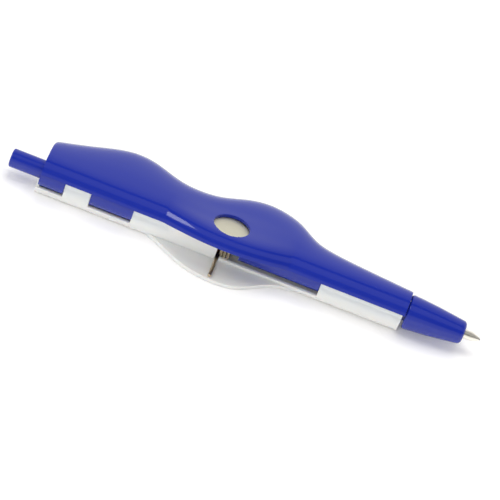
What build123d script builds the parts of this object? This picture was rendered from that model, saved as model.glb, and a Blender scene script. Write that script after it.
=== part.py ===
"""Retractable ballpoint pen whose barrel is also a sprung clip: two moulded jaws hinge on the inner tube.

X runs along the pen towards the writing tip, +Y towards the lips of the jaws, +Z up.
The origin is on the flat underside, straight below the pen's axis at the middle of the thumb pads.
Sections are drawn square to the pen, with their own origin on its axis.
"""

import math
import os

from build123d import *

os.makedirs("parts", exist_ok=True)

# overall sizes, in millimetres
barrel_radius = 5.8  # outside of the upper jaw's barrel
rear_end = -57.5  # rear face of the upper jaw
front_end = 56.0  # front face of the upper jaw
underside_drop = 0.1  # the lower jaw is this much deeper than the barrel
axis_height = barrel_radius + underside_drop

# walls and clearances
jaw_wall = 1.0
rib = 1.0
lip_gap = 0.2  # between the two lips when the clip is shut
turn_gap = 0.4  # between walls that turn past each other
collar_gap = 0.2  # from a collar to the wall of its own jaw
side_gap = 0.2  # beside a collar or a knuckle, along the axis
hinge_clearance = 0.05
slide_clearance = 0.05
press_clearance = 0.02
tube_wall = 0.5

# outline of both jaws from above: (place along the axis, reach of the lips from the axis)
pad_half = 19.5  # half the length of the raised thumb pad
tail_outline = [(rear_end, 11.5), (-46.0, 15.9), (-35.0, 19.5), (-27.5, 18.6), (-pad_half, 15.4)]
pad_outline = [
    (-pad_half, 15.4),
    (-12.8, 14.4),
    (-6.0, 15.4),
    (1.0, 18.3),
    (7.5, 19.7),
    (14.0, 18.8),
    (pad_half, 16.1),
]
nose_outline = [(pad_half, 16.1), (24.0, 12.4), (30.0, 9.9), (40.0, 8.2), (front_end, barrel_radius + 0.2)]

# click mechanism, from the rear
button_radius = 2.83
button_length = 10.2  # how far it stands out when the tip is out
flange_place = 6.7  # from the rear end
flange_length = 1.0
flange_step = 0.12
mouth_length = 1.1
mechanism_bore = button_radius + flange_step + slide_clearance
mechanism_depth = 29.5
guide_place = 9.5
guide_length = 10.0
groove_radius = mechanism_bore - 0.2
groove_depth = 0.45
groove_count = 4
groove_width = 1.3
key_width = 1.0
key_radius = groove_radius - 2 * slide_clearance
guide_bore = groove_radius - groove_depth
stem_radius = guide_bore - 2 * slide_clearance
tooth_count = 8
tooth_height = 0.8
tooth_width = 0.7
rotor_key_length = 3.5
rotor_length = 7.9
pilot_radius = 1.2
pilot_length = 4.0
socket_depth = 3.0

# refill
refill_radius = 1.6
refill_bore = 1.1
refill_clearance = 0.15
tip_radius = 1.4
tip_length = 17.2
tip_cone = 3.1
tip_plug = 4.0
tip_channel = 0.3
ball_radius = 0.4
ball_rim = 0.12
ink_length = 69.0

# inner tube, the hinge pin of the clip
tube_rear_radius = mechanism_bore + tube_wall
tube_front_wall = 1.15
tube_front_radius = refill_radius + refill_clearance + tube_front_wall
tube_step = -3.2
tube_neck = 6.0  # how far it stands out of the jaws, to carry the nose cone
thread_pitch = 0.9
thread_turns = 5
thread_depth = 0.25
tube_front_end = front_end + tube_neck

# nose cone and return spring
nose_gap = 0.15
nose_length = 18.0
nose_steps = [(0.0, 0.5), (3.4, 0.75), (8.4, 1.2), (13.4, 1.8), (nose_length, 2.4)]  # from its base, in from the barrel
nose_seat = 13.8
nose_edge = 0.8
nose_lip = 1.3
spring_play = 0.1  # from the tip and the socket to the return spring
return_wire = 0.3
return_turns = 9
nose_base = front_end + nose_gap

# torsion spring
wire = 1.0
coil_play = 0.45  # from the tube to the inside of the coil
coil_radius = tube_rear_radius + coil_play + wire / 2  # to the middle of the wire
coil_start = -1.25
coil_pitch = wire * 1.05
coil_turns = 3.5
coil_gap = 0.25
lower_leg_reach = 12.1
upper_leg_reach = 7.2
leg_slope = 3.5

# raised thumb pad of the upper jaw
parting_angle = 152.0  # where the barrel's near edge ends, in degrees from +Y
pad_slope = 13.0
lip_out = 6.0
lip_radius = 4.5
lip_edge_angle = 155.0
join_share = 0.42  # where the pad's slope meets the jaw, as a share of the reach
hole_radius = 5.5
hole_place = -0.3
hole_shift = -1.94  # along the slope, from the point nearest the axis
disc_radius = 5.8
disc_thickness = 0.4
disc_recess = jaw_wall + 0.25  # top of the disc below the pad's outer face
seat_wall = 0.35
pad_level = coil_radius + wire / 2 + coil_gap + disc_thickness + disc_recess
slope = math.radians(pad_slope)
lip_rise = (pad_level - lip_radius + lip_out * math.sin(slope)) / math.cos(slope)

# lower jaw
near_wall = barrel_radius - jaw_wall - 0.35  # outside of the flat near wall, from the axis
near_wall_top = 2.25
near_wall_knee = 1.2
notch_floor = -3.4
rear_corner = 1.2
front_corner = 2.3
flat_share = 0.4  # flat part of the underside, as a share of the reach
tail_lip = 0.5  # the lower jaw is this much longer at the rear
nose_lip_back = 0.6  # and this much shorter at the front
plate_thickness = 1.4
plate_lift = 0.1  # the thumb plate stops just short of the table
plate_reach = 12.7
slot_width = wire * 1.4

# collars of the upper jaw and knuckles of the lower jaw, as (start, end) along the axis
rear_collars = [(rear_end, rear_end + 7.7), (rear_end + 15.9, rear_end + 29.1)]
front_collar = (4.9, 29.9)
rear_knuckles = [(rear_end + 7.9, rear_end + 15.7), (rear_end + 29.3, -17.0)]
front_knuckle = (front_collar[1] + side_gap, front_end - nose_lip_back)
rear_collar_radius = barrel_radius - jaw_wall - collar_gap
front_collar_radius = tube_front_radius + 1.1
knuckle_radius = barrel_radius - jaw_wall - turn_gap
saddle_share = 0.9  # width of the block that ties a ring to its jaw, as a share of the ring's radius
saddle_height = barrel_radius - jaw_wall * 0.7
beyond = 30.0  # reaches past any outline


def across(x):
    """The plane that cuts the pen square at x, with its own x along +Y and its origin on the axis."""
    return Plane(origin=(x, 0, axis_height), x_dir=(0, 1, 0), z_dir=(1, 0, 0))


def polar(centre, radius, degrees):
    """A point on a circle, in the cutting plane."""
    turn = math.radians(degrees)
    return (centre[0] + radius * math.cos(turn), centre[1] + radius * math.sin(turn))


def between(a, b, share):
    """The point that lies at a share of the way from a to b."""
    return tuple(p + (q - p) * share for p, q in zip(a, b))


def upper_curve(x, reach, inset):
    """Points of the upper jaw's section from its near edge to its lip, inset from the outer face.

    Beside the thumb pad it is a round barrel that runs into a quarter ellipse. Over the pad the near half
    lifts into a rolled lip and a straight slope, as much as the pad is raised at x.
    """
    lift = math.cos(math.pi / 2 * x / pad_half) if abs(x) < pad_half else 0.0
    radius = barrel_radius - inset
    span = reach - inset
    steps = (0.0, 0.25, 0.5, 0.75, 1.0)
    barrel = [polar((0, 0), radius, parting_angle + (90 - parting_angle) * s) for s in steps]
    turn = 90 - pad_slope - lip_edge_angle
    lip = [polar((-lip_out, lip_rise), lip_radius - inset, lip_edge_angle + turn * s) for s in steps]
    shares = (join_share / 3, join_share * 2 / 3, join_share)
    flank = [(span * s, radius * math.sqrt(1 - s * s)) for s in shares]
    ramp = [between(lip[-1], flank[-1], s) for s in (0.35, 0.7, 1.0)]
    near = [between(a, b, lift) for a, b in zip(barrel + flank, lip + ramp)]
    angles = (50, 35, 20, 9)
    far = [(span * math.cos(math.radians(a)), radius * math.sin(math.radians(a))) for a in angles]
    return near + far + [(span, lip_gap / 2)]


def upper_section(x, reach, filled=False):
    """One closed section of the upper jaw: a thin wall, or solid from the middle of that wall down."""
    outer = upper_curve(x, reach, jaw_wall / 2 if filled else 0.0)
    with BuildSketch(across(x)) as section:
        with BuildLine():
            Spline(*outer)
            if filled:
                Line(outer[-1], outer[0])
            else:
                inner = upper_curve(x, reach, jaw_wall)
                Spline(*inner)
                Line(outer[0], inner[0])
                Line(outer[-1], inner[-1])
        make_face()
    return section.sketch


def lower_edge(x, reach, inset):
    """Draws the lower jaw's face from the top of its near wall to its lip, and returns both ends."""
    share = (x - rear_end) / (front_end - rear_end)
    corner = rear_corner + (front_corner - rear_corner) * share - inset * 0.7
    near = inset - near_wall
    floor = inset - axis_height
    flat = reach * flat_share
    side = reach - inset - flat
    knee = (near, near_wall_knee)
    lean = near_wall - math.sqrt(near_wall**2 + near_wall_knee**2 - near_wall_top**2)
    top = (near + lean, near_wall_top)
    Polyline(top, knee, (near, floor + corner))
    CenterArc((near + corner, floor + corner), corner, 180, 90)
    Line((near + corner, floor), (flat, floor))
    angles = [math.radians(a) for a in (0, 18, 36, 54, 70, 82)]
    far = [(flat + side * math.sin(a), floor * math.cos(a)) for a in angles]
    lip = (flat + side, -lip_gap / 2)
    Spline(*far, lip, tangents=[(1, 0), (0, 1)])
    return top, lip


def lower_section(x, reach, filled=False):
    """One closed section of the lower jaw: a thin wall, or solid from the middle of that wall up."""
    with BuildSketch(across(x)) as section:
        with BuildLine():
            top, lip = lower_edge(x, reach, jaw_wall / 2 if filled else 0.0)
            if filled:
                Line(top, lip)
            else:
                inner_top, inner_lip = lower_edge(x, reach, jaw_wall)
                Line(top, inner_top)
                Line(lip, inner_lip)
        make_face()
    return section.sketch


def rod(x, length, radius, mode=Mode.ADD):
    """A round length of the pen on its axis."""
    with BuildSketch(across(x)) as face:
        Circle(radius)
    extrude(face.sketch, amount=length, mode=mode)


def ring(span, radius, side):
    """A bearing ring over a span of the axis, tied to the jaw above it (side 1) or below it (side -1)."""
    with BuildSketch(across(span[0])) as face:
        Circle(radius)
        with Locations((0, side * saddle_height / 2)):
            Rectangle(radius * saddle_share, saddle_height)
    extrude(face.sketch, amount=span[1] - span[0])


def slab(x, side):
    """A wall square to the axis, on the upper side of the parting (side 1) or the lower side (side -1)."""
    with BuildSketch(across(x)) as face:
        with Locations((beyond / 2, side * (beyond + lip_gap) / 2)):
            Rectangle(2 * beyond, beyond)
    extrude(face.sketch, amount=rib)


def keys(x, length, outer, inner, width, mode=Mode.ADD):
    """Evenly spaced splines on the axis, from the inner radius to the outer."""
    with BuildSketch(across(x)) as face:
        with PolarLocations((inner + outer) / 2, groove_count):
            Rectangle(outer - inner, width)
    extrude(face.sketch, amount=length, mode=mode)


def revolved(profile, mode=Mode.ADD):
    """Turns a half profile of (x, radius) points about the pen's axis."""
    with BuildSketch(Plane(origin=axis_point, x_dir=(1, 0, 0), z_dir=(0, -1, 0))) as face:
        with BuildLine():
            Polyline(*profile, close=True)
        make_face()
    revolve(face.sketch, axis=pen_axis, mode=mode)


def tube_bore():
    """Opens a jaw for the stepped inner tube, past both of its ends."""
    start = rear_end - 2 * tail_lip
    rod(start, tube_step - start, tube_rear_radius + hinge_clearance, Mode.SUBTRACT)
    rod(tube_step, front_end + nose_gap - tube_step, tube_front_radius + hinge_clearance, Mode.SUBTRACT)


def coil(start, length, turns, radius, thickness):
    """A round wire wound about the axis, starting straight above it."""
    with BuildLine() as path:
        Helix(length / turns, length, radius, center=(start, 0, axis_height), direction=(1, 0, 0))
    with BuildSketch(Plane(origin=path.line @ 0, z_dir=path.line % 0)) as face:
        Circle(thickness / 2)
    sweep(face.sketch, path=path.line, is_frenet=True)


def leg(x, side, degrees, reach):
    """A straight leg towards -Y from the top of the coil (side 1) or its bottom (side -1)."""
    lean = math.radians(degrees)
    behind = coil_radius * math.sin(lean) if side > 0 else 0.0
    foot = (x, behind, axis_height + side * coil_radius * math.cos(lean))
    with BuildSketch(Plane(origin=foot, z_dir=(0, -math.cos(lean), math.sin(lean)))) as face:
        Circle(wire / 2)
    extrude(face.sketch, amount=(reach + behind) / math.cos(lean))
    with Locations(foot):
        Sphere(wire / 2)


axis_point = (0, 0, axis_height)
pen_axis = Axis(axis_point, (1, 0, 0))
outlines = (tail_outline, pad_outline, nose_outline)

# upper jaw: barrel, wing, raised thumb pad and three collars, one moulding
with BuildPart() as upper_core:
    for outline in outlines:
        loft([upper_section(x, reach, filled=True) for x, reach in outline])

with BuildPart() as upper_ribs:
    for start, end in rear_collars + [front_collar]:
        slab(start, 1)
        slab(end - rib, 1)
    add(upper_core.part, mode=Mode.INTERSECT)
    for span in rear_collars:
        ring(span, rear_collar_radius, 1)
    ring(front_collar, front_collar_radius, 1)

hole_y = pad_level * math.sin(slope) + hole_shift * math.cos(slope)
hole_z = pad_level * math.cos(slope) - hole_shift * math.sin(slope)
slope_plane = Plane(
    origin=(hole_place, hole_y, axis_height + hole_z),
    x_dir=(1, 0, 0),
    z_dir=(0, math.sin(slope), math.cos(slope)),
)

with BuildPart() as upper_jaw:
    for outline in outlines:
        loft([upper_section(x, reach) for x, reach in outline])
    add(upper_ribs.part)
    tube_bore()
    with BuildSketch(slope_plane.offset(-disc_recess)) as seat:
        Circle(disc_radius + seat_wall)
    extrude(seat.sketch, amount=disc_recess - jaw_wall / 2)
    with BuildSketch(slope_plane.offset(-disc_recess)) as pocket:
        Circle(disc_radius + slide_clearance)
    extrude(pocket.sketch, amount=-2 * disc_thickness, mode=Mode.SUBTRACT)
    with BuildSketch(slope_plane.offset(-disc_recess)) as hole:
        Circle(hole_radius)
    extrude(hole.sketch, amount=2 * disc_recess, mode=Mode.SUBTRACT)

with BuildPart() as pad_disc:
    with BuildSketch(slope_plane.offset(-disc_recess)) as disc:
        Circle(disc_radius)
    extrude(disc.sketch, amount=-disc_thickness)

# lower jaw: near wall, flat thumb plate, hollow far side and three knuckles, one moulding
lower_tail = [(rear_end - tail_lip, tail_outline[0][1])] + tail_outline[1:]
lower_nose = nose_outline[:-1] + [(front_end - nose_lip_back, nose_outline[-1][1])]
lower_outlines = (lower_tail, pad_outline, lower_nose)
plate_outline = [
    (-pad_half - 6.5, 1 - near_wall),
    (-pad_half - 2.5, -near_wall),
    (-pad_half + 3.1, -0.6 * plate_reach),
    (-pad_half + 10.4, -0.88 * plate_reach),
    (-0.8, -plate_reach),
    (pad_half - 10.4, -0.84 * plate_reach),
    (pad_half - 3.1, -0.46 * plate_reach),
    (pad_half + 1.5, -near_wall),
    (pad_half + 5.5, 1.4 - near_wall),
]

with BuildPart() as lower_core:
    for outline in lower_outlines:
        loft([lower_section(x, reach, filled=True) for x, reach in outline])

with BuildPart() as lower_ribs:
    slab(rear_end - tail_lip, -1)
    for start, end in rear_knuckles:
        slab(start, -1)
        slab(end - rib, -1)
    slab(front_knuckle[0], -1)
    add(lower_core.part, mode=Mode.INTERSECT)
    for span in rear_knuckles + [front_knuckle]:
        ring(span, knuckle_radius, -1)

notches = [
    (rear_end - 2 * tail_lip, rear_collars[0][1] + side_gap / 2),
    (rear_collars[1][0] - side_gap / 2, rear_collars[1][1] + side_gap / 2),
    (coil_start - wire / 2, front_collar[1] + side_gap / 2),
]
coil_length = coil_pitch * coil_turns
slot_floor = coil_radius + wire / 2 + slide_clearance  # below the axis
slot_top = notch_floor + wire
plate_top = axis_height - plate_thickness  # below the axis
slot_length = (slot_floor - plate_top) / math.tan(math.radians(leg_slope))  # to where the leg clears the plate

with BuildPart() as lower_jaw:
    for outline in lower_outlines:
        loft([lower_section(x, reach) for x, reach in outline])
    with BuildSketch(Plane.XY.offset(plate_lift)) as plate:
        with BuildLine():
            Spline(*plate_outline)
            Line(plate_outline[-1], plate_outline[0])
        make_face()
    extrude(plate.sketch, amount=plate_thickness - plate_lift)
    add(lower_ribs.part)
    tube_bore()
    for start, end in notches:
        with BuildSketch(across(start)) as notch:
            with Locations((-near_wall, notch_floor + beyond / 2)):
                Rectangle(2 * near_wall - 1, beyond)
        extrude(notch.sketch, amount=end - start, mode=Mode.SUBTRACT)
    for start, end in rear_collars:
        room = end - start + 2 * side_gap
        rod(start - side_gap, room, rear_collar_radius + turn_gap, Mode.SUBTRACT)
    rod(rear_end - tail_lip, tail_lip, rear_collar_radius + turn_gap, Mode.SUBTRACT)
    rod(coil_start - wire, coil_length + 2 * wire, coil_radius + wire / 2 + coil_gap, Mode.SUBTRACT)
    with BuildSketch(across(coil_start - slot_width / 2)) as slot:
        with Locations((-slot_length / 2, (slot_top - slot_floor) / 2)):
            Rectangle(slot_length, slot_top + slot_floor)
    extrude(slot.sketch, amount=slot_width, mode=Mode.SUBTRACT)

# inner tube: hinge pin of the clip and housing of the click mechanism
with BuildPart() as barrel_tube:
    rod(rear_end, tube_step - rear_end, tube_rear_radius)
    rod(tube_step, tube_front_end - tube_step, tube_front_radius)
    rod(rear_end, mouth_length, button_radius + slide_clearance, Mode.SUBTRACT)
    rod(rear_end + mouth_length, mechanism_depth - mouth_length, mechanism_bore, Mode.SUBTRACT)
    rod(rear_end, tube_front_end - rear_end, refill_radius + refill_clearance, Mode.SUBTRACT)
    for turn in range(thread_turns):
        x = nose_base + 0.4 + turn * thread_pitch
        outside = tube_front_radius + thread_depth
        root = (x + thread_pitch / 3, tube_front_radius - thread_depth)
        end = x + thread_pitch * 2 / 3
        revolved(
            [(x, outside), (x, tube_front_radius), root, (end, tube_front_radius), (end, outside)],
            Mode.SUBTRACT,
        )

# torsion spring: close coil on the tube, one leg along each thumb pad
with BuildPart() as wound_wire:
    coil(coil_start, coil_length, coil_turns, coil_radius, wire)
half_turned = wound_wire.part.rotate(pen_axis, 180)  # so that it starts at the lower leg

with BuildPart() as torsion_spring:
    add(half_turned)
    leg(coil_start, -1, leg_slope, lower_leg_reach)
    leg(coil_start + coil_length, 1, pad_slope, upper_leg_reach)

# click mechanism: push button, guide sleeve and indexing rotor
flange_start = rear_end + flange_place
guide_start = rear_end + guide_place
rotor_start = guide_start + guide_length + 2 * slide_clearance
teeth_start = rotor_start - tooth_height
rotor_end = rotor_start + rotor_length

with BuildPart() as push_button:
    rod(rear_end - button_length, button_length + flange_place, button_radius)
    fillet(push_button.edges().group_by(Axis.X)[0], radius=button_radius / 5)
    rod(flange_start, flange_length, button_radius + flange_step)
    rod(flange_start, teeth_start - flange_start, stem_radius)
    keys(flange_start, guide_length - tooth_height, key_radius, stem_radius / 2, key_width)
    with BuildSketch(across(teeth_start)) as teeth:
        with PolarLocations((stem_radius + pilot_radius) / 2 + slide_clearance, tooth_count):
            Rectangle(stem_radius - pilot_radius - groove_depth, tooth_width)
    extrude(teeth.sketch, amount=tooth_height - slide_clearance)
    rod(rotor_start - pilot_length - 1, pilot_length + 1, pilot_radius + 2 * slide_clearance, Mode.SUBTRACT)

with BuildPart() as cam_guide:
    rod(guide_start, guide_length, mechanism_bore - press_clearance)
    rod(guide_start, guide_length, guide_bore, Mode.SUBTRACT)
    keys(guide_start, guide_length, groove_radius, guide_bore / 2, groove_width, Mode.SUBTRACT)

with BuildPart() as cam_rotor:
    rod(rotor_start, rotor_length, stem_radius)
    rod(rotor_start - pilot_length, pilot_length, pilot_radius)
    keys(rotor_start + 2 * slide_clearance, rotor_key_length, key_radius, stem_radius / 2, key_width)
    rod(rotor_end - socket_depth, socket_depth, refill_radius + press_clearance, Mode.SUBTRACT)

# refill: ink tube, ink, tip and ball
refill_rear = rotor_end - socket_depth
refill_front = tube_front_end
tip_end = refill_front + tip_length
ball_x = tip_end - ball_radius
plug_start = refill_front - tip_plug
plug_radius = refill_bore - press_clearance / 2

with BuildPart() as refill_tube:
    rod(refill_rear, refill_front - refill_rear, refill_radius)
    rod(refill_rear, refill_front - refill_rear, refill_bore, Mode.SUBTRACT)

with BuildPart() as ink_column:
    rod(plug_start - 1 - ink_length, ink_length, refill_bore - press_clearance)

with BuildPart() as refill_tip:
    revolved([
        (plug_start, 0),
        (plug_start, plug_radius),
        (refill_front, plug_radius),
        (refill_front, tip_radius),
        (tip_end - tip_cone, tip_radius),
        (ball_x, ball_radius + ball_rim),
        (ball_x, 0),
    ])
    with Locations((ball_x, 0, axis_height)):
        Sphere(ball_radius + press_clearance / 2, mode=Mode.SUBTRACT)
    rod(plug_start, ball_x - plug_start, tip_channel, Mode.SUBTRACT)

with BuildPart() as writing_ball:
    with Locations((ball_x, 0, axis_height)):
        Sphere(ball_radius)

# return spring: from the refill's shoulder to the seat inside the nose cone
spring_start = refill_front + return_wire / 2 + press_clearance
spring_end = nose_base + nose_seat - return_wire / 2 - press_clearance
spring_radius = tip_radius + spring_play + return_wire / 2

with BuildPart() as return_spring:
    coil(spring_start, spring_end - spring_start, return_turns, spring_radius, return_wire)

# nose cone, screwed on the front of the tube
nose_profile = [(nose_base + place, barrel_radius - step) for place, step in nose_steps]
nose_end = nose_base + nose_length

with BuildPart() as nose_cone:
    with BuildSketch(Plane(origin=axis_point, x_dir=(1, 0, 0), z_dir=(0, -1, 0))) as half:
        with BuildLine():
            Spline(*nose_profile)
            Polyline(nose_profile[-1], (nose_end, 0), (nose_base, 0), nose_profile[0])
        make_face()
    revolve(half.sketch, axis=pen_axis)
    fillet(nose_cone.edges().group_by(Axis.X)[-1], radius=nose_lip)
    fillet(nose_cone.edges().group_by(Axis.X)[0], radius=nose_edge)
    socket = tube_front_end + turn_gap - nose_base
    rod(nose_base, socket, tube_front_radius + hinge_clearance, Mode.SUBTRACT)
    rod(nose_base, nose_seat, spring_radius + return_wire / 2 + spring_play, Mode.SUBTRACT)
    rod(nose_base, nose_length, tip_radius + 2 * slide_clearance, Mode.SUBTRACT)

pieces = {
    "upper_jaw": upper_jaw,
    "lower_jaw": lower_jaw,
    "pad_disc": pad_disc,
    "barrel_tube": barrel_tube,
    "torsion_spring": torsion_spring,
    "push_button": push_button,
    "cam_guide": cam_guide,
    "cam_rotor": cam_rotor,
    "refill_tube": refill_tube,
    "ink_column": ink_column,
    "refill_tip": refill_tip,
    "writing_ball": writing_ball,
    "return_spring": return_spring,
    "nose_cone": nose_cone,
}
for name, piece in pieces.items():
    piece.part.label = name
    export_step(piece.part, f"parts/{name}.step")
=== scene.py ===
import math

import bpy
import numpy as np
from mathutils import Matrix, Vector


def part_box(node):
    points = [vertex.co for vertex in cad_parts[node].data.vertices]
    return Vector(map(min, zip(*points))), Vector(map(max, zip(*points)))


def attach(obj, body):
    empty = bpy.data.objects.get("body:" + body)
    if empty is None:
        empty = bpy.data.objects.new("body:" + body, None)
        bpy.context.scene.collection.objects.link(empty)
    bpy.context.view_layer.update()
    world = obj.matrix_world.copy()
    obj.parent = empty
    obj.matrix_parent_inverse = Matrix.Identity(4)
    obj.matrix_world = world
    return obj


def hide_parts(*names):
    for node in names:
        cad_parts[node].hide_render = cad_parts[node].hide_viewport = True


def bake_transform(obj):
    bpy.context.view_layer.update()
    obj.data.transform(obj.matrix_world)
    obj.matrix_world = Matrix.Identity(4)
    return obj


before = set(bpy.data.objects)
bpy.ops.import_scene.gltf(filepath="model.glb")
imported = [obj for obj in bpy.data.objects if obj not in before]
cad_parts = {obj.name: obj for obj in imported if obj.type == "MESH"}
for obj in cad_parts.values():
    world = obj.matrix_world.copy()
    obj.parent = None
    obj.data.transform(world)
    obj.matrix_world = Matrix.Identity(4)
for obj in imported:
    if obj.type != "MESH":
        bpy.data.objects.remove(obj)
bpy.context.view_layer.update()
bpy.context.scene.view_settings.view_transform = "Standard"

mm = 0.001
tubeLow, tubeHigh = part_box("barrel_tube")
axisHeight = (tubeLow.z + tubeHigh.z) / 2 / mm  # height of the pen's axis above the table, in mm
cubicTurn = math.pi / 2


# camera, floor and light

shot = {"elevation": 45.0, "roll": 21.3, "distance": 0.9, "width": 0.146, "aim": 7.1}


def placeCamera():
    tilt, roll = math.radians(shot["elevation"]), math.radians(shot["roll"])
    back = Vector((0, -math.cos(tilt), math.sin(tilt)))
    up = Vector((0, math.sin(tilt), math.cos(tilt)))
    along = Vector((1, 0, 0))
    right = along * math.cos(roll) + up * math.sin(roll)
    top = up * math.cos(roll) - along * math.sin(roll)
    aim = Vector((shot["aim"] * mm, 0, axisHeight * mm))
    bpy.ops.object.camera_add(location=aim + back * shot["distance"])
    camera = bpy.context.object
    camera.name = "camera"
    camera.rotation_euler = Matrix((right, top, back)).transposed().to_euler()
    camera.data.lens = camera.data.sensor_width * shot["distance"] / shot["width"]
    camera.data.clip_start = 0.05
    bpy.context.scene.camera = camera


placeCamera()
print("camera placed")


# colours and nodes

def paint(text):  # sRGB hex to the linear colour that shaders want
    parts = [int(text[i:i + 2], 16) / 255 for i in (0, 2, 4)]
    linear = [c / 12.92 if c <= 0.04045 else ((c + 0.055) / 1.055) ** 2.4 for c in parts]
    return (*linear, 1.0)


def addNode(tree, kind, settings=None, links=None):
    node = tree.nodes.new(kind)
    for name, value in (settings or {}).items():
        if name in node.inputs:
            node.inputs[name].default_value = value
        else:
            setattr(node, name, value)
    for name, source in (links or {}).items():
        tree.links.new(source, node.inputs[name])
    return node


def newMaterial(name, settings):
    material = bpy.data.materials.new(name)
    material.use_nodes = True
    tree = material.node_tree
    shader = tree.nodes["Principled BSDF"]
    for key, value in settings.items():
        shader.inputs[key].default_value = value
    return material, tree, shader


def mouldedPlastic(name, values):
    material, tree, shader = newMaterial(name, {
        "Base Color": paint(values["colour"]), "IOR": values["ior"], "Roughness": values["roughness"],
        "Coat Weight": values["coat"], "Coat Roughness": values["coatRoughness"],
    })
    place = addNode(tree, "ShaderNodeTexCoord")
    flow = addNode(tree, "ShaderNodeMapping", {"Scale": (0.25, 1.0, 1.0)}, {"Vector": place.outputs["Object"]})
    haze = addNode(tree, "ShaderNodeTexNoise", {"Scale": 1 / (values["flowSize"] * mm), "Detail": 3.0},
                   {"Vector": flow.outputs["Vector"]})
    ends = addNode(tree, "ShaderNodeMix", {"data_type": "RGBA"}, {"Factor": haze.outputs["Fac"]})
    ends.inputs[6].default_value = paint(values["colour"])
    ends.inputs[7].default_value = paint(values["deep"])
    tree.links.new(ends.outputs[2], shader.inputs["Base Color"])
    shine = addNode(tree, "ShaderNodeMapRange", {"To Min": values["roughness"] * 0.8,
                                                 "To Max": values["roughness"] * 1.3},
                    {"Value": haze.outputs["Fac"]})
    tree.links.new(shine.outputs["Result"], shader.inputs["Roughness"])
    grain = addNode(tree, "ShaderNodeTexNoise", {"Scale": 1 / (values["grain"] * mm), "Detail": 2.0},
                    {"Vector": place.outputs["Object"]})
    bump = addNode(tree, "ShaderNodeBump", {"Strength": values["bump"], "Distance": 0.02 * mm},
                   {"Height": grain.outputs["Fac"]})
    tree.links.new(bump.outputs["Normal"], shader.inputs["Normal"])
    return material


bluePlastic = mouldedPlastic("glossyBluePolystyrene", {  # deep blue with a clear sheen from the polished mould
    "colour": "182a94", "deep": "162891", "ior": 1.5, "roughness": 0.08, "coat": 0.0,
    "coatRoughness": 0.06, "flowSize": 6.0, "grain": 0.6, "bump": 0.05})
tubePlastic = mouldedPlastic("satinBlueAcetalTube", {  # a duller blue than the jaws, where the thread shows
    "colour": "1d2b8c", "deep": "1a2680", "ior": 1.48, "roughness": 0.35, "coat": 0.0,
    "coatRoughness": 0.2, "flowSize": 5.0, "grain": 0.5, "bump": 0.05})
whitePlastic = mouldedPlastic("satinWhitePolystyrene", {  # even soft white with a broad weak sheen
    "colour": "e1e1de", "deep": "dededb", "ior": 1.55, "roughness": 0.35, "coat": 0.0,
    "coatRoughness": 0.25, "flowSize": 8.0, "grain": 0.5, "bump": 0.05})
glow = whitePlastic.node_tree.nodes["Principled BSDF"].inputs
glow["Subsurface Weight"].default_value = 0.35  # thin walls let some warm light through
glow["Subsurface Radius"].default_value = (1.0, 0.7, 0.5)
glow["Subsurface Scale"].default_value = 1.2 * mm
naturalAcetal = mouldedPlastic("naturalAcetal", {  # milky and slightly waxy
    "colour": "ecebe4", "deep": "e6e5dd", "ior": 1.48, "roughness": 0.42, "coat": 0.0,
    "coatRoughness": 0.3, "flowSize": 4.0, "grain": 0.4, "bump": 0.04})
refillPlastic = mouldedPlastic("extrudedPolypropylene", {  # cloudy tube with faint draw lines
    "colour": "cfd6dc", "deep": "c3ccd4", "ior": 1.49, "roughness": 0.3, "coat": 0.0,
    "coatRoughness": 0.2, "flowSize": 3.0, "grain": 0.3, "bump": 0.03})
pasteInk = mouldedPlastic("bluePasteInk", {  # nearly black, wet
    "colour": "0a1450", "deep": "080f40", "ior": 1.45, "roughness": 0.12, "coat": 0.0,
    "coatRoughness": 0.1, "flowSize": 3.0, "grain": 0.5, "bump": 0.02})


def workedMetal(name, values):  # fine marks drawn round or along the piece break up the reflections
    material, tree, shader = newMaterial(name, {
        "Base Color": paint(values["colour"]), "Metallic": 1.0, "Roughness": values["roughness"]})
    place = addNode(tree, "ShaderNodeTexCoord")
    stretch = addNode(tree, "ShaderNodeMapping", {"Scale": values["stretch"]}, {"Vector": place.outputs["Object"]})
    marks = addNode(tree, "ShaderNodeTexNoise", {"Scale": 1 / (values["markSize"] * mm), "Detail": 2.0},
                    {"Vector": stretch.outputs["Vector"]})
    shine = addNode(tree, "ShaderNodeMapRange", {"To Min": values["roughness"] * 0.7,
                                                 "To Max": values["roughness"] * 1.4},
                    {"Value": marks.outputs["Fac"]})
    tree.links.new(shine.outputs["Result"], shader.inputs["Roughness"])
    bump = addNode(tree, "ShaderNodeBump", {"Strength": values["bump"], "Distance": 0.01 * mm},
                   {"Height": marks.outputs["Fac"]})
    tree.links.new(bump.outputs["Normal"], shader.inputs["Normal"])
    return material


springSteel = workedMetal("drawnSpringSteel", {  # warm dark wire with a bright line along it
    "colour": "c2b298", "roughness": 0.28, "stretch": (1.0, 0.15, 0.15), "markSize": 0.25, "bump": 0.15})
nickelPlate = workedMetal("satinNickelPlate", {  # even creamy metal, nearly matt
    "colour": "f6f2de", "roughness": 0.6, "stretch": (0.3, 1.0, 1.0), "markSize": 0.2, "bump": 0.08})
nickelSilver = workedMetal("turnedNickelSilver", {  # bright metal with lathe rings
    "colour": "fbf6ea", "roughness": 0.3, "stretch": (1.0, 0.05, 0.05), "markSize": 0.12, "bump": 0.12})
tungstenCarbide = workedMetal("polishedTungstenCarbide", {  # dark mirror ball
    "colour": "8e8e92", "roughness": 0.1, "stretch": (1.0, 1.0, 1.0), "markSize": 0.1, "bump": 0.0})
print("plastics ready")


# section curves of the jaws

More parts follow.
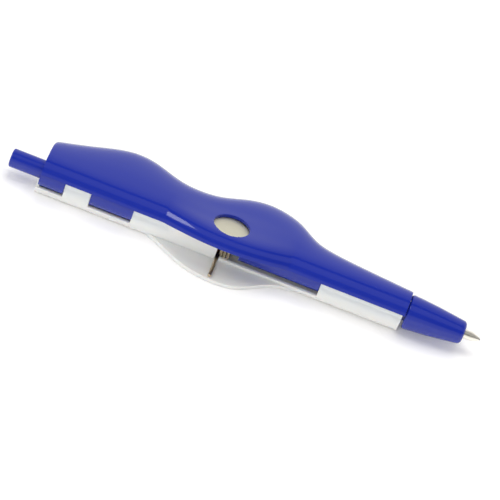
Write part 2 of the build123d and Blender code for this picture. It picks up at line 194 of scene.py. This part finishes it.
jaw = {
    "outline": [(-57.5, 11.5), (-46.0, 15.9), (-35.0, 19.5), (-27.5, 18.6), (-19.5, 15.4), (-12.8, 14.4),
                (-6.0, 15.4), (1.0, 18.3), (7.5, 19.7), (14.0, 18.8), (19.5, 16.1), (24.0, 12.4),
                (30.0, 9.9), (40.0, 8.2), (56.0, 6.0)],  # reach of the lips along the pen, in mm
    "barrelRadius": 5.8, "wall": 1.0, "lipGap": 0.2, "partingAngle": 152.0, "padHalf": 19.5,
    "lipCentre": (-6.0, 3.8), "lipRadius": 4.5, "lipAngles": (155.0, 77.0), "joinShare": 0.42,
    "holeRadius": 5.5, "holePlace": -0.3, "holeShift": -1.94, "padLevel": 6.85, "padSlope": 13.0, "rim": 0.42, "step": 0.5, "across": 66, "cornerLength": 0.9,
}


def smoothThrough(knots, values, at):  # natural cubic curve through the given points
    knots, values, at = (np.asarray(v, float) for v in (knots, values, at))
    gap, rise = np.diff(knots), np.diff(values, axis=0)
    count = len(knots)
    system, right = np.eye(count), np.zeros(values.shape)
    for i in range(1, count - 1):
        system[i, i - 1:i + 2] = gap[i - 1], 2 * (gap[i - 1] + gap[i]), gap[i]
        right[i] = 6 * (rise[i] / gap[i] - rise[i - 1] / gap[i - 1])
    bend = np.linalg.solve(system, right)
    i = np.clip(np.searchsorted(knots, at, side="right") - 1, 0, count - 2)
    shape = (-1,) + (1,) * (values.ndim - 1)
    h, a, b = (v.reshape(shape) for v in (gap[i], knots[i + 1] - at, at - knots[i]))
    curve = (bend[i] * a**3 + bend[i + 1] * b**3) / (6 * h)
    return curve + (values[i] / h - bend[i] * h / 6) * a + (values[i + 1] / h - bend[i + 1] * h / 6) * b


def reachAt(x):
    places, reaches = zip(*jaw["outline"])
    reach = float(smoothThrough(places, reaches, [x])[0])
    corner = jaw["cornerLength"]  # the lip's corner is rounded off towards the rear end
    into = max(0.0, 1 - (x - places[0]) / corner) if x > places[0] - 1 else 0.0
    return reach - corner * (1 - math.sqrt(max(0.0, 1 - min(into, 1.0) ** 2)))


def polar(centre, radius, degrees):
    turn = math.radians(degrees)
    return np.array((centre[0] + radius * math.cos(turn), centre[1] + radius * math.sin(turn)))


def upperCurve(x, count, inset=0.0):  # the upper jaw's section from its near edge to its lip
    lift = math.cos(cubicTurn * x / jaw["padHalf"]) if abs(x) < jaw["padHalf"] else 0.0
    radius, span = jaw["barrelRadius"] - inset, reachAt(x) - inset
    steps = np.linspace(0, 1, 5)
    barrel = [polar((0, 0), radius, jaw["partingAngle"] + (90 - jaw["partingAngle"]) * s) for s in steps]
    start, stop = jaw["lipAngles"]
    rolled = [polar(jaw["lipCentre"], jaw["lipRadius"] - inset, start + (stop - start) * s) for s in steps]
    shares = [jaw["joinShare"] * k / 3 for k in (1, 2, 3)]
    flank = [np.array((span * s, radius * math.sqrt(1 - s * s))) for s in shares]
    slope = [rolled[-1] + (flank[-1] - rolled[-1]) * s for s in (0.35, 0.7, 1.0)]
    near = [a + (b - a) * lift for a, b in zip(barrel + flank, rolled + slope)]
    far = [np.array((span * math.cos(math.radians(a)), radius * math.sin(math.radians(a))))
           for a in (50, 35, 20, 9)]
    points = np.array(near + far + [np.array((span, jaw["lipGap"] / 2))])
    along = np.concatenate(([0], np.cumsum(np.linalg.norm(np.diff(points, axis=0), axis=1))))
    return smoothThrough(along, points, np.linspace(0, along[-1], count + 1))


# helpers for making and finishing a mesh

def clearSelection():
    if bpy.context.mode != "OBJECT":
        bpy.ops.object.mode_set(mode="OBJECT")
    bpy.ops.object.select_all(action="DESELECT")


def makeActive(piece):
    clearSelection()
    piece.select_set(True)
    bpy.context.view_layer.objects.active = piece


def settle(piece):  # puts the object's place into its mesh
    makeActive(piece)
    bpy.ops.object.transform_apply(location=True, rotation=True, scale=True)


def addModifier(piece, kind, **settings):
    makeActive(piece)
    modifier = piece.modifiers.new(kind.lower(), kind)
    for name, value in settings.items():
        setattr(modifier, name, value)
    bpy.ops.object.modifier_apply(modifier=modifier.name)


def roundEdges(piece, width, segments=3, angle=40.0):
    addModifier(piece, "BEVEL", width=width * mm, segments=segments, limit_method="ANGLE",
                angle_limit=math.radians(angle), use_clamp_overlap=True)


def shadeSmooth(piece, angle=35.0):
    makeActive(piece)
    bpy.ops.object.shade_smooth_by_angle(angle=math.radians(angle))


def finishPiece(piece, name, body, material, slotName, *nodes):
    piece.name = name
    piece.data.name = name
    piece.data.materials.clear()
    piece.data.materials.append(material)
    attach(piece, body)
    if nodes:
        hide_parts(*nodes)
    print(name, "done,", len(piece.data.polygons), "faces")


def shapedSheet(stations, across, section):  # a grid whose rows are bent to one section each
    clearSelection()
    bpy.ops.mesh.primitive_grid_add(x_subdivisions=len(stations) - 1, y_subdivisions=across, size=1)
    piece = bpy.context.object
    rows = [section(x) for x in stations]
    for vertex in piece.data.vertices:
        i = round((vertex.co.x + 0.5) * (len(stations) - 1))
        j = round((vertex.co.y + 0.5) * across)
        y, z = rows[i][j]
        vertex.co = (stations[i] * mm, y * mm, (axisHeight + z) * mm)
    return piece


def selectWhere(piece, kind, test):  # leaves the piece in edit mode with the wanted elements selected
    makeActive(piece)
    bpy.ops.object.mode_set(mode="EDIT")
    bpy.ops.mesh.select_mode(type=kind)
    bpy.ops.mesh.select_all(action="DESELECT")
    bpy.ops.object.mode_set(mode="OBJECT")
    items = {"FACE": piece.data.polygons, "EDGE": piece.data.edges, "VERT": piece.data.vertices}[kind]
    for item in items:
        item.select = bool(test(item))
    bpy.ops.object.mode_set(mode="EDIT")


def joinPieces(first, others):
    clearSelection()
    for piece in [first, *others]:
        piece.select_set(True)
    bpy.context.view_layer.objects.active = first
    bpy.ops.object.join()
    return first


def ringAlong(start, end, radius, bore, edge):  # a bored cylinder on the pen's axis with soft outer edges
    clearSelection()
    bpy.ops.mesh.primitive_cylinder_add(vertices=96, radius=radius * mm, depth=(end - start) * mm,
                                        end_fill_type="NOTHING", location=((start + end) / 2 * mm, 0, axisHeight * mm),
                                        rotation=(0, cubicTurn, 0))
    piece = bpy.context.object
    settle(piece)
    addModifier(piece, "SOLIDIFY", thickness=(radius - bore) * mm, offset=-1)
    roundEdges(piece, edge, 4, 60)
    return piece


def ribAcross(x, width, points):  # a flat web square to the pen, cut to the given outline
    clearSelection()
    bpy.ops.mesh.primitive_circle_add(vertices=len(points), radius=1, fill_type="NGON")
    piece = bpy.context.object
    for vertex, (y, z) in zip(piece.data.vertices, points):
        vertex.co = (x * mm, y * mm, (axisHeight + z) * mm)
    makeActive(piece)
    bpy.ops.object.mode_set(mode="EDIT")
    bpy.ops.mesh.select_all(action="SELECT")
    bpy.ops.mesh.extrude_region_move(TRANSFORM_OT_translate={"value": (width * mm, 0, 0)})
    bpy.ops.mesh.select_all(action="SELECT")
    bpy.ops.mesh.normals_make_consistent(inside=False)
    bpy.ops.object.mode_set(mode="OBJECT")
    return piece


# upper jaw

collars = {
    "rear": [(-57.5, -49.8), (-41.6, -28.4)], "front": (4.9, 29.9), "rearRadius": 4.3, "frontRadius": 3.7,
    "rearBore": 3.55, "frontBore": 2.95, "edge": 0.3, "rib": 1.0,
    "rearFace": 4.72, "frontFace": 4.1, "faceTop": 150.0, "faceDrop": 3.05, "faceThickness": 0.4,
    "faceCorner": 0.7, "faceRim": 0.13,
}


def collarFace(start, end, radius):  # the collar's outer face between the jaws, its lower corners rounded
    corner = collars["faceCorner"]
    bend = [corner * (1 - math.cos(a)) for a in np.linspace(0, cubicTurn, 7)]
    middle = np.linspace(start + corner, end - corner, round((end - start) / 0.8))
    stations = [start + b for b in bend] + list(middle[1:-1]) + [end - b for b in reversed(bend)]
    low = 180 + math.degrees(math.asin(collars["faceDrop"] / radius))

    def section(x):
        into = max(0.0, 1 - (x - start) / corner, 1 - (end - x) / corner)
        drop = corner * (1 - math.sqrt(max(0.0, 1 - into**2)))
        return [polar((0, 0), radius, a) for a in np.linspace(low - math.degrees(drop / radius), collars["faceTop"], 15)]

    piece = shapedSheet(stations, 14, section)
    addModifier(piece, "SOLIDIFY", thickness=collars["faceThickness"] * mm, offset=-1)
    roundEdges(piece, collars["faceRim"], 3, 50)
    return piece


def upperWeb(x):  # outline of a web inside the upper jaw, in the middle of its wall
    curve = upperCurve(x, 40, jaw["wall"] / 2)
    keep = [p for p in curve if p[0] > 3.9 or p[1] > 4.2 and p[0] > 0]
    return keep + [(keep[-1][0], jaw["lipGap"]), (3.9, jaw["lipGap"])]


def holeCentre():  # where the hole's axis meets the pad's slope, from the pen's axis
    slope = math.radians(jaw["padSlope"])
    level, shift = jaw["padLevel"], jaw["holeShift"]
    return np.array((level * math.sin(slope) + shift * math.cos(slope),
                     level * math.cos(slope) - shift * math.sin(slope)))


def cutHole(piece):  # opens the round hole in the thumb pad and pulls its edge onto a true circle
    slope = math.radians(jaw["padSlope"])
    middle = holeCentre()
    centre = Vector((jaw["holePlace"], middle[0], axisHeight + middle[1])) * mm
    down = Vector((0, math.cos(slope), -math.sin(slope)))

    def fromCentre(point):
        offset = point - centre
        return offset.x, offset.dot(down)

    radius = jaw["holeRadius"] * mm
    selectWhere(piece, "FACE", lambda face: math.hypot(*fromCentre(face.center)) < radius)
    bpy.ops.mesh.delete(type="FACE")
    bpy.ops.object.mode_set(mode="OBJECT")
    shared = np.zeros(len(piece.data.edges), int)
    for loop in piece.data.loops:
        shared[loop.edge_index] += 1
    border = {v for edge, uses in zip(piece.data.edges, shared) if uses == 1 for v in edge.vertices}
    for index in border:
        vertex = piece.data.vertices[index]
        a, b = fromCentre(vertex.co)
        reach = math.hypot(a, b)
        if reach < radius * 1.3:
            vertex.co += (Vector((a, 0, 0)) + down * b) * (radius / reach - 1)


def makeUpperJaw():
    count = round((56.0 + 57.5) / jaw["step"])
    stations = list(np.linspace(-57.5, 56.0, count + 1))
    shell = shapedSheet(stations, jaw["across"], lambda x: upperCurve(x, jaw["across"]))
    cutHole(shell)
    addModifier(shell, "SOLIDIFY", thickness=jaw["wall"] * mm, offset=-1, use_even_offset=True)
    roundEdges(shell, jaw["rim"], 3, 50)
    parts = [ringAlong(a, b, collars["rearRadius"], collars["rearBore"], collars["edge"])
             for a, b in collars["rear"]]
    parts.append(ringAlong(*collars["front"], collars["frontRadius"], collars["frontBore"], collars["edge"]))
    parts += [collarFace(a, b, collars["rearFace"]) for a, b in collars["rear"]]
    parts.append(collarFace(*collars["front"], collars["frontFace"]))
    for a, b in collars["rear"] + [collars["front"]]:
        for x in (a + 0.1, b - collars["rib"]):
            parts.append(ribAcross(x, collars["rib"] - 0.1, upperWeb(x)))
    joinPieces(shell, parts)
    shadeSmooth(shell)
    finishPiece(shell, "upperJaw", "upper", bluePlastic, "blue_moulding", "upper_jaw")


makeUpperJaw()


# lower jaw

lower = {
    "rearEnd": -58.0, "frontEnd": 55.4, "nearWall": 4.45, "wallTop": 2.25, "knee": 1.2, "wall": 1.0,
    "notchFloor": -3.4, "notches": [(-60.0, -49.7), (-41.7, -28.5), (-1.8, 30.0)],
    "legSlot": (-1.8, -0.6), "slotFloor": -4.7,
    "rearCorner": 1.2, "frontCorner": 2.3, "noseCorner": 1.0, "flatShare": 0.4, "rim": 0.22, "step": 0.6,
    "knuckles": [(-49.6, -41.8), (-28.2, -17.0)], "frontKnuckle": (30.1, 55.4), "knuckleRadius": 4.4,
    "rearBore": 3.55, "frontBore": 2.95, "rib": 1.0, "webBore": 3.9,
    "plateOutline": [(-26.0, -3.45), (-22.0, -4.45), (-16.4, -7.62), (-9.1, -11.18), (-0.8, -12.7),
                     (9.1, -10.67), (16.4, -5.84), (21.0, -4.45), (25.0, -3.05)],
    "plateBottom": 0.1, "plateTop": 1.4, "plateEdge": 0.55, "platePoints": 96,
}


def lowerCurve(x):  # the lower jaw's section from its lip round the bottom to the top of the near wall
    share = (x + 57.5) / 113.5
    corner = lower["rearCorner"] + (lower["frontCorner"] - lower["rearCorner"]) * share
    reach, near, floor = reachAt(x), -lower["nearWall"], -axisHeight
    flat = reach * lower["flatShare"]
    angles = np.radians(np.linspace(0, 89, 17))
    points = [(flat + (reach - flat) * math.cos(a), floor * math.sin(a)) for a in angles]
    points[0] = (reach, -jaw["lipGap"] / 2)
    points += [(y, floor) for y in np.linspace(flat, near + corner, 6)]
    points += [tuple(polar((near + corner, floor + corner), corner, 270 - a)) for a in (18, 36, 54, 72, 90)]
    points += [(near, z) for z in (lower["notchFloor"], -1.5, 0.0, lower["knee"])]
    lean = math.sqrt(near**2 + lower["knee"]**2 - lower["wallTop"]**2)
    return points + [(-lean, lower["wallTop"])]


def lowerWeb(x):  # outline of a web inside the lower jaw, in the middle of its wall and round under the tube
    inner = lower["wall"] / 2
    shell = [(y - math.copysign(inner, y), min(z + inner, -jaw["lipGap"])) for y, z in lowerCurve(x)
             if z < -jaw["lipGap"]]
    room = [tuple(polar((0, 0), lower["webBore"], a)) for a in range(183, 360, 8)]
    return shell + room


def makePlate():  # the thumb plate, drawn flat and then raised
    places, reaches = zip(*lower["plateOutline"])
    rows = np.linspace(places[0], places[-1], lower["platePoints"])
    edge = list(zip(rows, smoothThrough(places, reaches, rows)))
    clearSelection()
    bpy.ops.mesh.primitive_circle_add(vertices=len(edge), radius=1, fill_type="NGON")
    piece = bpy.context.object
    for vertex, (x, y) in zip(piece.data.vertices, edge):
        vertex.co = (x * mm, y * mm, lower["plateBottom"] * mm)
    bpy.ops.object.mode_set(mode="EDIT")
    bpy.ops.mesh.select_all(action="SELECT")
    rise = lower["plateTop"] - lower["plateBottom"]
    bpy.ops.mesh.extrude_region_move(TRANSFORM_OT_translate={"value": (0, 0, rise * mm)})
    bpy.ops.mesh.select_all(action="SELECT")
    bpy.ops.mesh.normals_make_consistent(inside=False)
    bpy.ops.object.mode_set(mode="OBJECT")
    roundEdges(piece, lower["plateEdge"], 4, 50)
    selectWhere(piece, "FACE", lambda face: abs(face.normal.z) > 0.999)
    bpy.ops.mesh.inset(thickness=0.05 * mm)  # keeps the flats evenly shaded beside the rounded edge
    bpy.ops.object.mode_set(mode="OBJECT")
    return piece


def makeLowerJaw():
    cuts = [x for span in lower["notches"] + [lower["legSlot"]] for x in span if x > lower["rearEnd"]]
    corner = lower["noseCorner"]
    keys = sorted({lower["rearEnd"], *cuts, lower["frontEnd"] - 1.3 * corner})
    stations = [keys[0]]
    for a, b in zip(keys, keys[1:]):
        stations += list(np.linspace(a, b, max(2, round((b - a) / lower["step"])) + 1)[1:])
    stations.append(lower["frontEnd"])
    across = len(lowerCurve(0)) - 1
    shell = shapedSheet(stations, across, lowerCurve)

    def inNotch(face):
        x, y, z = face.center / mm
        floor = lower["slotFloor"] if lower["legSlot"][0] < x < lower["legSlot"][1] else lower["notchFloor"]
        return any(a < x < b for a, b in lower["notches"]) and y < -3 and z - axisHeight > floor

    selectWhere(shell, "FACE", inNotch)
    bpy.ops.mesh.delete(type="FACE")
    bpy.ops.object.mode_set(mode="OBJECT")
    for vertex in shell.data.vertices:  # draws the last row back to round the front corner
        rise = min(1.0, vertex.co.z / mm / corner)
        back = corner * (1 - math.sqrt(1 - (1 - rise) ** 2))
        vertex.co.x = min(vertex.co.x, (lower["frontEnd"] - back) * mm)
    addModifier(shell, "SOLIDIFY", thickness=lower["wall"] * mm, offset=-1, use_even_offset=True)
    roundEdges(shell, lower["rim"], 3, 50)
    parts = [makePlate()]
    for a, b in lower["knuckles"]:
        parts.append(ringAlong(a, b, lower["knuckleRadius"], lower["rearBore"], 0.3))
    parts.append(ringAlong(*lower["frontKnuckle"], lower["knuckleRadius"], lower["frontBore"], 0.3))
    webs = [lower["rearEnd"], lower["frontKnuckle"][0], lower["frontKnuckle"][1] - lower["rib"]]
    for a, b in lower["knuckles"]:
        webs += [a, b - lower["rib"]]
    parts += [ribAcross(x + 0.05, lower["rib"] - 0.1, lowerWeb(x)) for x in webs]
    joinPieces(shell, parts)
    shadeSmooth(shell)
    finishPiece(shell, "lowerJaw", "lower", whitePlastic, "white_moulding", "lower_jaw")


makeLowerJaw()


# torsion spring: close coil on the tube, one straight leg along each thumb pad

spring = {
    "wire": 0.5, "coil": 4.45, "start": -1.25, "pitch": 1.05, "turns": 3, "lowerTurn": -93.5, "upperTurn": 77.0,
    "lowerReach": 12.1, "upperReach": 7.2, "facets": 40,
}


def growLeg(piece, x, turn, way, reach):  # extrudes the wire's end face at x straight on, to a reach from the axis
    angle = math.radians(turn)
    foot = Vector((x, spring["coil"] * math.cos(angle), spring["coil"] * math.sin(angle)))
    heading = Vector((0, -math.sin(angle), math.cos(angle))) * way
    length = (reach + foot.y) / -heading.y
    selectWhere(piece, "VERT", lambda vertex: (vertex.co / mm - Vector((0, 0, axisHeight)) - foot).length < 0.7
                and abs((vertex.co / mm - Vector((0, 0, axisHeight)) - foot).dot(heading)) < 0.05)
    for share in [1 / 8] * 8:
        bpy.ops.mesh.extrude_region_move(TRANSFORM_OT_translate={"value": heading * length * share * mm})
    bpy.ops.mesh.edge_face_add()
    bpy.ops.object.mode_set(mode="OBJECT")


def windCoil(wireRadius, coilRadius, start, startTurn, sweep, pitch, facets):  # an open tube wound round the axis
    clearSelection()
    bpy.ops.mesh.primitive_circle_add(vertices=20, radius=wireRadius * mm, fill_type="NOTHING")
    piece = bpy.context.object
    bpy.ops.object.mode_set(mode="EDIT")
    bpy.ops.mesh.select_all(action="SELECT")
    bpy.ops.transform.translate(value=(start * mm, coilRadius * mm, 0))
    bpy.ops.object.mode_set(mode="OBJECT")
    piece.rotation_euler = (math.radians(startTurn), 0, 0)
    settle(piece)
    steps = round(facets * sweep / 360)
    addModifier(piece, "SCREW", axis="X", angle=math.radians(sweep), screw_offset=pitch * sweep / 360 * mm,
                steps=steps, render_steps=steps, use_merge_vertices=False)
    piece.location = (0, 0, axisHeight * mm)
    settle(piece)
    return piece


def finishSpring(piece, name, node):  # names the wire, smooths it, gives it the steel, hides its carried-over node and bakes its place into the mesh
    makeActive(piece)
    bpy.ops.object.mode_set(mode="EDIT")
    bpy.ops.mesh.select_all(action="SELECT")
    bpy.ops.mesh.normals_make_consistent(inside=False)
    bpy.ops.object.mode_set(mode="OBJECT")
    shadeSmooth(piece, 40)
    piece.name = piece.data.name = name
    piece.data.materials.clear()
    piece.data.materials.append(springSteel)
    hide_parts(node)
    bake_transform(piece)
    print(name, "done,", len(piece.data.polygons), "faces")


def makeTorsionSpring():
    sweep = 360 * spring["turns"] + spring["upperTurn"] - spring["lowerTurn"]
    end = spring["start"] + spring["pitch"] * sweep / 360
    piece = windCoil(spring["wire"], spring["coil"], spring["start"], spring["lowerTurn"], sweep,
                     spring["pitch"], spring["facets"])
    growLeg(piece, spring["start"], spring["lowerTurn"], -1, spring["lowerReach"])
    growLeg(piece, end, spring["upperTurn"], 1, spring["upperReach"])
    roundEdges(piece, 0.1, 2, 60)
    finishSpring(piece, "torsionSpring", "torsion_spring")


returnCoil = {"wire": 0.15, "coil": 1.65, "start": 62.18, "end": 69.77, "turns": 9, "facets": 24}


def makeReturnSpring():  # wound at rest; in the pen its rear end moves with the refill
    start, end = returnCoil["start"], returnCoil["end"]
    piece = windCoil(returnCoil["wire"], returnCoil["coil"], start, 0, 360 * returnCoil["turns"],
                     (end - start) / returnCoil["turns"], returnCoil["facets"])
    for x in (start, end):
        selectWhere(piece, "VERT", lambda vertex: abs(vertex.co.x / mm - x) < returnCoil["wire"] * 1.01
                    and abs(vertex.co.z / mm - axisHeight) < 0.01 and vertex.co.y > 0)
        bpy.ops.mesh.edge_face_add()
        bpy.ops.object.mode_set(mode="OBJECT")
    finishSpring(piece, "returnSpring", "return_spring")


makeTorsionSpring()
makeReturnSpring()


# turned pieces: grown from one circle, a ring at a time

def turnedPiece(profile, sides):
    clearSelection()
    place, radius = profile[0]
    bpy.ops.mesh.primitive_circle_add(vertices=sides, radius=radius * mm, fill_type="NGON",
                                      location=(place * mm, 0, axisHeight * mm), rotation=(0, cubicTurn, 0))
    piece = bpy.context.object
    settle(piece)
    bpy.ops.object.mode_set(mode="EDIT")
    bpy.ops.mesh.select_all(action="SELECT")
    for (a, before), (b, after) in zip(profile, profile[1:]):
        bpy.ops.mesh.extrude_region_move(TRANSFORM_OT_translate={"value": ((b - a) * mm, 0, 0)})
        bpy.ops.transform.resize(value=(1, after / before, after / before))
    bpy.ops.mesh.select_all(action="SELECT")
    bpy.ops.mesh.normals_make_consistent(inside=False)
    bpy.ops.object.mode_set(mode="OBJECT")
    return piece


tip = {
    "plug": 58.0, "plugRadius": 1.08, "shoulder": 62.0, "neck": 1.4, "cone": 76.1, "end": 78.95, "mouth": 0.47, "ogive": 1.25,
    "grooves": (62.6, 75.95), "grooveWidth": 0.12, "grooveDepth": 0.06, "soft": 0.04,
}


def makeTip():
    neck, soft = tip["neck"], tip["soft"]
    profile = [(tip["plug"], tip["plugRadius"] - 0.15), (tip["plug"] + 0.2, tip["plugRadius"]),
               (tip["shoulder"], tip["plugRadius"]), (tip["shoulder"] + 0.01, neck)]
    for place in tip["grooves"]:
        end = place + tip["grooveWidth"]
        low = neck - tip["grooveDepth"]
        profile += [(place - soft, neck), (place, low), (end, low), (end + soft, neck)]
    shares = np.linspace(0.05, 1, 8)
    nib = tip["end"] - 0.15
    profile += [(tip["cone"] + (nib - tip["cone"]) * s, neck + (tip["mouth"] + 0.08 - neck) * s**tip["ogive"])
                for s in shares]
    profile += [(tip["end"] - 0.03, tip["mouth"] + 0.03), (tip["end"], tip["mouth"] - 0.04),
                (tip["end"] - 0.12, tip["mouth"] - 0.08)]
    piece = turnedPiece(profile, 64)
    shadeSmooth(piece, 35)
    finishPiece(piece, "refillTip", "refill", nickelSilver, "tip_metal", "refill_tip")


makeTip()


disc = {"radius": 5.75, "thickness": 0.36, "recess": 1.25, "rim": 0.12}


def makeDisc():  # lies in the seat under the hole, with a turned rim and a shallow dish
    clearSelection()
    slope = math.radians(jaw["padSlope"])
    crest = polar(jaw["lipCentre"], jaw["lipRadius"], jaw["lipAngles"][1])
    outward = np.array((math.sin(slope), math.cos(slope)))
    centre = holeCentre() - outward * (disc["recess"] + disc["thickness"] / 2)
    bpy.ops.mesh.primitive_cylinder_add(vertices=96, radius=disc["radius"] * mm, depth=disc["thickness"] * mm,
                                        location=(jaw["holePlace"] * mm, centre[0] * mm, (axisHeight + centre[1]) * mm),
                                        rotation=(-slope, 0, 0))
    piece = bpy.context.object
    settle(piece)
    up = Vector((0, *outward))
    selectWhere(piece, "FACE", lambda face: face.normal.dot(up) > 0.9)
    bpy.ops.mesh.inset(thickness=0.8 * mm)
    bpy.ops.mesh.inset(thickness=0.2 * mm)
    bpy.ops.transform.translate(value=up * -0.05 * mm)
    bpy.ops.object.mode_set(mode="OBJECT")
    roundEdges(piece, disc["rim"], 3, 40)
    shadeSmooth(piece, 30)
    finishPiece(piece, "padDisc", "upper", nickelPlate, "disc_metal", "pad_disc")


makeDisc()


# carried-over pieces

def softNormals():  # merges the loose triangles of a carried-over piece and smooths its round faces
    tree = bpy.data.node_groups.new("softNormals", "GeometryNodeTree")
    tree.interface.new_socket("Geometry", in_out="INPUT", socket_type="NodeSocketGeometry")
    tree.interface.new_socket("Geometry", in_out="OUTPUT", socket_type="NodeSocketGeometry")
    start = addNode(tree, "NodeGroupInput")
    merged = addNode(tree, "GeometryNodeMergeByDistance", {"Distance": 1e-6},
                     {"Geometry": start.outputs["Geometry"]})
    smooth = addNode(tree, "GeometryNodeSetShadeSmooth", {"domain": "FACE", "Shade Smooth": True},
                     {"Geometry": merged.outputs["Geometry"]})
    angle = addNode(tree, "GeometryNodeInputMeshEdgeAngle")
    steep = addNode(tree, "FunctionNodeCompare", {"data_type": "FLOAT", "operation": "GREATER_THAN"},
                    {"A": angle.outputs["Unsigned Angle"]})
    steep.inputs["B"].default_value = math.radians(30)
    sharp = addNode(tree, "GeometryNodeSetShadeSmooth", {"domain": "EDGE", "Shade Smooth": False},
                    {"Geometry": smooth.outputs["Geometry"], "Selection": steep.outputs["Result"]})
    addNode(tree, "NodeGroupOutput", links={"Geometry": sharp.outputs["Geometry"]})
    return tree


normals = softNormals()


def dress(node, material):
    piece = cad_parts[node]
    piece.data.materials.clear()
    piece.data.materials.append(material)
    piece.modifiers.new("softNormals", "NODES").node_group = normals


dress("push_button", bluePlastic)
dress("nose_cone", bluePlastic)
dress("barrel_tube", tubePlastic)
dress("cam_guide", naturalAcetal)
dress("cam_rotor", naturalAcetal)
dress("refill_tube", refillPlastic)
dress("ink_column", pasteInk)
dress("writing_ball", tungstenCarbide)


# floor and lights

def makeFloor():
    clearSelection()
    bpy.ops.mesh.primitive_plane_add(size=4)
    floor = bpy.context.object
    floor.name = "floor"
    material, tree, shader = newMaterial("matteWhiteSweep", {
        "Base Color": paint("fbfaf9"), "Roughness": 0.9, "Specular IOR Level": 0.1})
    floor.data.materials.append(material)


def addLight(name, place, aim, size, power):
    place, aim = Vector(place), Vector(aim)
    bpy.ops.object.light_add(type="AREA", location=place)
    light = bpy.context.object
    light.name = name
    light.rotation_euler = (aim - place).to_track_quat("-Z", "Y").to_euler()
    light.data.shape = "RECTANGLE"
    light.data.size, light.data.size_y = size
    light.data.energy = power
    return light


studio = {  # brightness of the white tent by height over the front edge of the table, in degrees
    "bands": [(0, 0.9), (26, 0.7), (31, 0.1), (58, 0.1), (62, 0.55), (92, 0.6), (97, 0.05), (106, 0.05),
              (112, 0.5), (150, 1.0), (180, 1.1)],
    "strength": 0.9,
}


def makeLight():
    fills = [addLight("overheadFill", (0.05, 0.25, 1.1), (0, 0, 0), (0.9, 0.7), 7.0),
             addLight("frontFill", (-0.15, -0.95, 0.75), (0, 0, 0), (0.9, 0.7), 6.9)]
    for fill in fills:
        fill.visible_glossy = False  # the tent's own bands make the reflections
    addLight("leftBox", (-0.72, -0.16, 0.72), (0, 0, 0), (0.28, 0.38), 1.6)
    world = bpy.data.worlds.new("studio")
    world.use_nodes = True
    tree = world.node_tree
    place = addNode(tree, "ShaderNodeTexCoord")
    parts = addNode(tree, "ShaderNodeSeparateXYZ", links={"Vector": place.outputs["Generated"]})
    front = addNode(tree, "ShaderNodeMath", {"operation": "MULTIPLY"})
    tree.links.new(parts.outputs["Y"], front.inputs[0])
    front.inputs[1].default_value = -1.0
    height = addNode(tree, "ShaderNodeMath", {"operation": "ARCTAN2"})
    tree.links.new(parts.outputs["Z"], height.inputs[0])
    tree.links.new(front.outputs["Value"], height.inputs[1])
    share = addNode(tree, "ShaderNodeMapRange", {"From Max": math.pi}, {"Value": height.outputs["Value"]})
    ramp = addNode(tree, "ShaderNodeValToRGB", links={"Fac": share.outputs["Result"]})
    stops = ramp.color_ramp.elements
    while len(stops) < len(studio["bands"]):
        stops.new(0.5)
    for stop, (degrees, value) in zip(stops, studio["bands"]):
        stop.position = degrees / 180
        stop.color = (value, value, value, 1)
    background = tree.nodes["Background"]
    background.inputs["Strength"].default_value = studio["strength"]
    tree.links.new(ramp.outputs["Color"], background.inputs["Color"])
    bpy.context.scene.world = world


makeFloor()
makeLight()
print("floor and lights ready")
